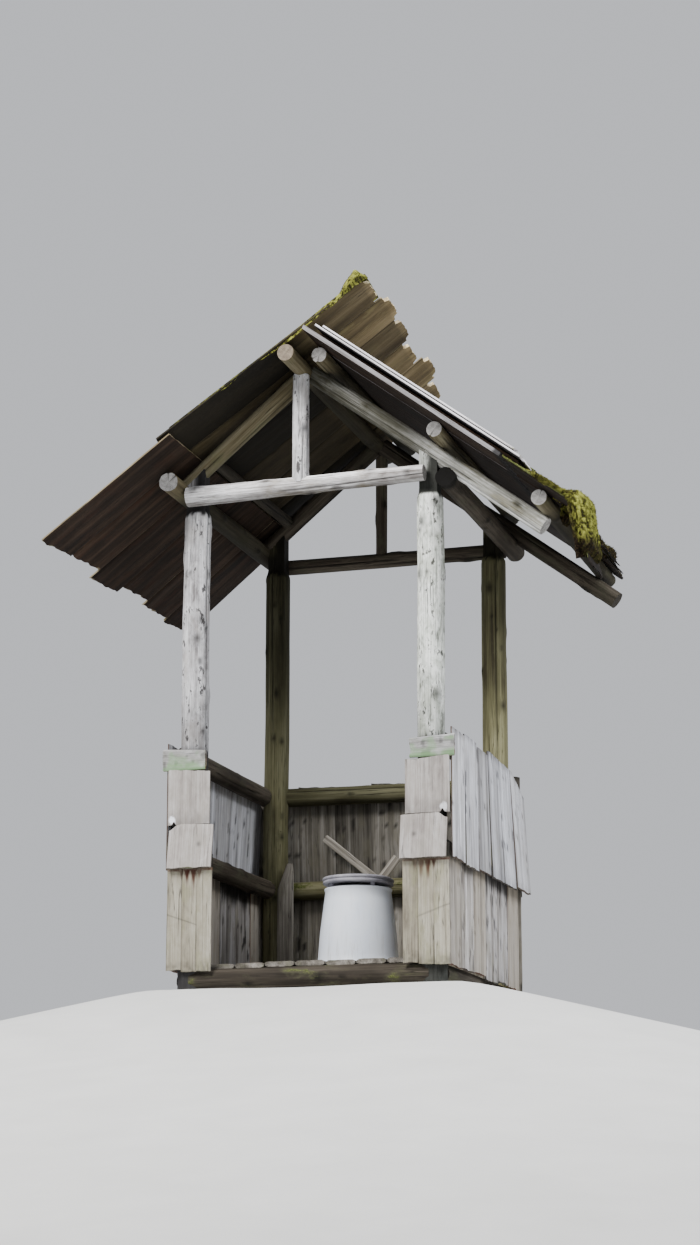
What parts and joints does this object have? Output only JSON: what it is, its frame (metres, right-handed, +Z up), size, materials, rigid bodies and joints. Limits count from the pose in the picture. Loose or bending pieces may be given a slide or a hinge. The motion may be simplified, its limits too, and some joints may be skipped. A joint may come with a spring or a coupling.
{
  "type": "open pole outhouse",
  "caption": "Open-sided log outhouse with a gable roof of split boards, waist-high board walls, a floor and a covered riser.",
  "frame": {"origin": "on the ground, midway between the four posts, on the underside of the floor joist", "axes": "+X to the right seen from the doorway, +Y from the doorway to the rear wall, +Z up"},
  "size_m": [2.7602, 2.0472, 3.5082],
  "materials": {
    "silver_log": "peeled log weathered to silver grey, with small knots and drying checks",
    "shaded_log": "peeled log gone dark brown in the shade",
    "roof_board": "split board, brown below and pale grey along its edges",
    "mossy_board": "split board under thick yellow-green moss",
    "sill_log": "hewn log on the ground, dark and partly mossy",
    "floor_board": "grey worn board",
    "wall_board": "split board weathered to lilac grey with dark vertical streaks",
    "dark_board": "split board in the shade, dark grey brown",
    "panel_board": "split board, beige grey with rust-brown drips",
    "white_shell": "smooth bluish-white moulded shell with faint dirt",
    "grey_seat": "lilac-grey, dulled by weather"
  },
  "bodies": {
    "root": {"post_front_left": "silver_log", "post_front_right": "silver_log", "post_rear_left": "shaded_log", "post_rear_right": "shaded_log", "tie_front": "silver_log", "tie_rear": "shaded_log", "wall_plate_left": "shaded_log", "wall_plate_right": "shaded_log", "king_post_front": "silver_log", "king_post_rear": "shaded_log", "ridge_pole": "shaded_log", "rafter_front_left": "shaded_log", "rafter_front_right": "silver_log", "rafter_rear_left": "shaded_log", "rafter_rear_right": "shaded_log", "purlin_right_upper": "shaded_log", "purlin_right_middle": "shaded_log", "purlin_right_eave": "shaded_log", "pole_left_middle": "shaded_log", "roof_left_upper": "roof_board", "roof_left_lower": "roof_board", "roof_right_base": "roof_board", "roof_right_thin": "roof_board", "roof_right_eave": "mossy_board", "sill_front": "sill_log", "sill_rear": "sill_log", "sill_left": "sill_log", "sill_right": "sill_log", "floor_joist": "sill_log", "floor_boards_all": "floor_board", "rails_left": "shaded_log", "rails_right": "shaded_log", "rails_rear": "shaded_log", "wall_left_lower": "wall_board", "wall_left_upper": "wall_board", "wall_right_lower": "wall_board", "wall_right_upper": "wall_board", "wall_rear_lower": "dark_board", "wall_rear_upper": "dark_board", "front_panel_left": "panel_board", "front_panel_right": "panel_board", "loose_slats": "dark_board", "toilet_riser": "white_shell", "toilet_seat": "grey_seat", "toilet_cover": "grey_seat"}
  },
  "joints": []
}
